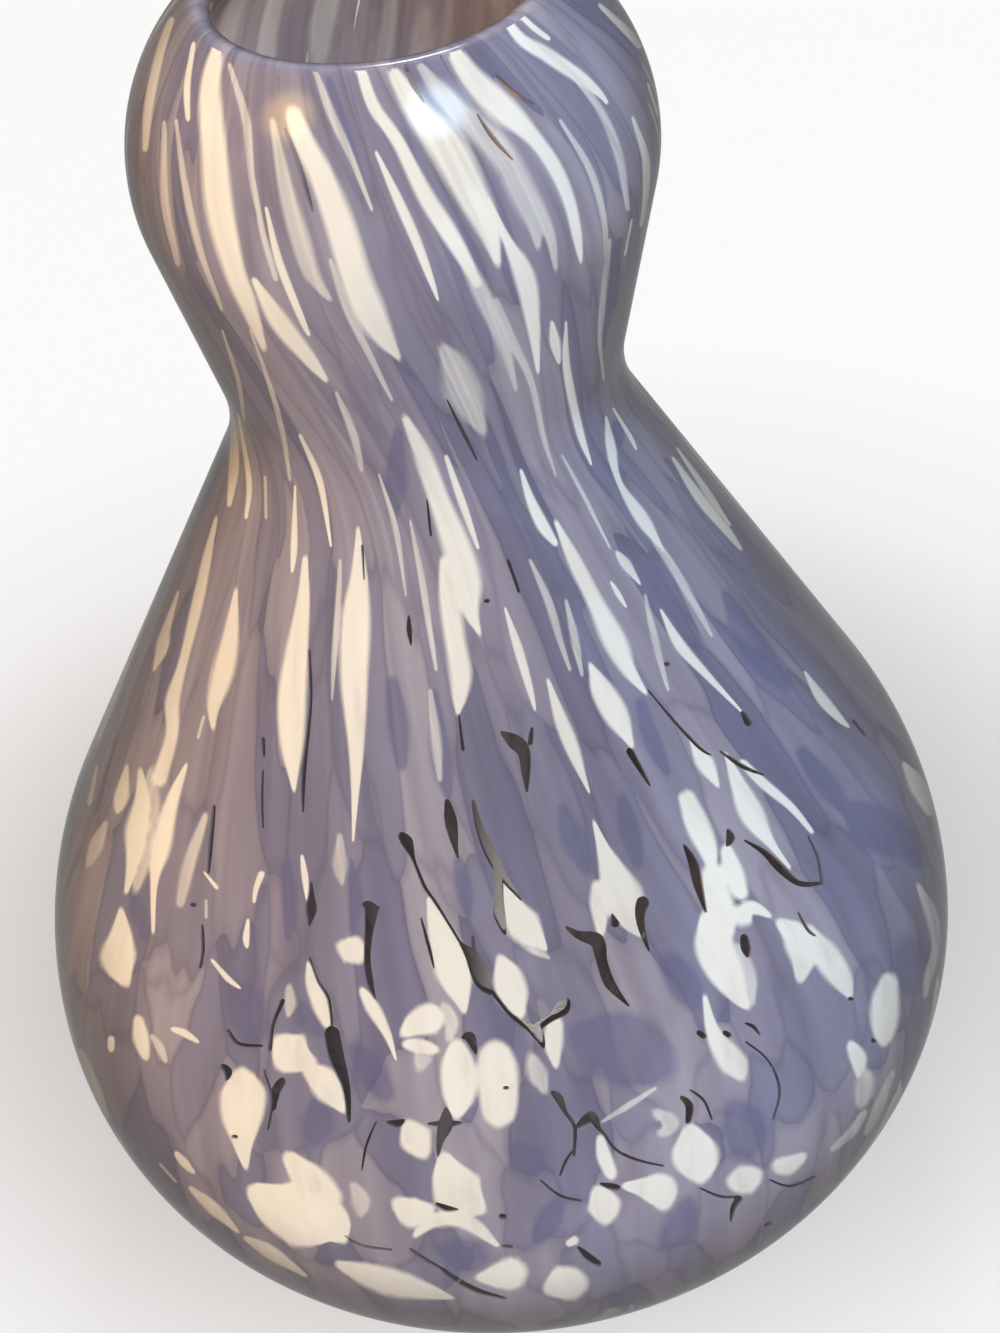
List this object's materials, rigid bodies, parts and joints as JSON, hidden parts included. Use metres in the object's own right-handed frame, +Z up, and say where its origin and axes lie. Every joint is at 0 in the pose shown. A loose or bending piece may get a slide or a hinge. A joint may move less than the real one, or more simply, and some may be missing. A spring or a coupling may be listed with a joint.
{
  "type": "double gourd vase",
  "caption": "Blown glass vase of double gourd form: wide belly, drawn-in waist, small round upper bulb with a plain open mouth, lavender and white chips cased in clear glass.",
  "frame": {"origin": "middle of the foot, on the surface the vase stands on", "axes": "+Z up along the vase's axis, out of its mouth; X and Y level, no side is the front"},
  "size_m": [0.122, 0.122, 0.1865],
  "materials": {
    "clear_casing_glass": "clear soda-lime glass, fire-polished",
    "clear_gather_glass": "clear soda-lime glass, fire-polished",
    "lavender_chip_glass": "opaque lavender colour glass, melted in",
    "white_chip_glass": "opaque white colour glass, melted in",
    "violet_chip_glass": "opaque violet colour glass, melted in"
  },
  "bodies": {
    "root": {"outer_casing": "clear_casing_glass", "inner_gather": "clear_gather_glass", "lavender_belly_chips": "lavender_chip_glass", "white_belly_chips": "white_chip_glass", "violet_belly_chips": "violet_chip_glass", "lavender_shoulder_chips": "lavender_chip_glass", "white_shoulder_chips": "white_chip_glass", "violet_shoulder_chips": "violet_chip_glass", "lavender_neck_chips": "lavender_chip_glass", "white_neck_chips": "white_chip_glass", "violet_neck_chips": "violet_chip_glass"}
  },
  "joints": []
}
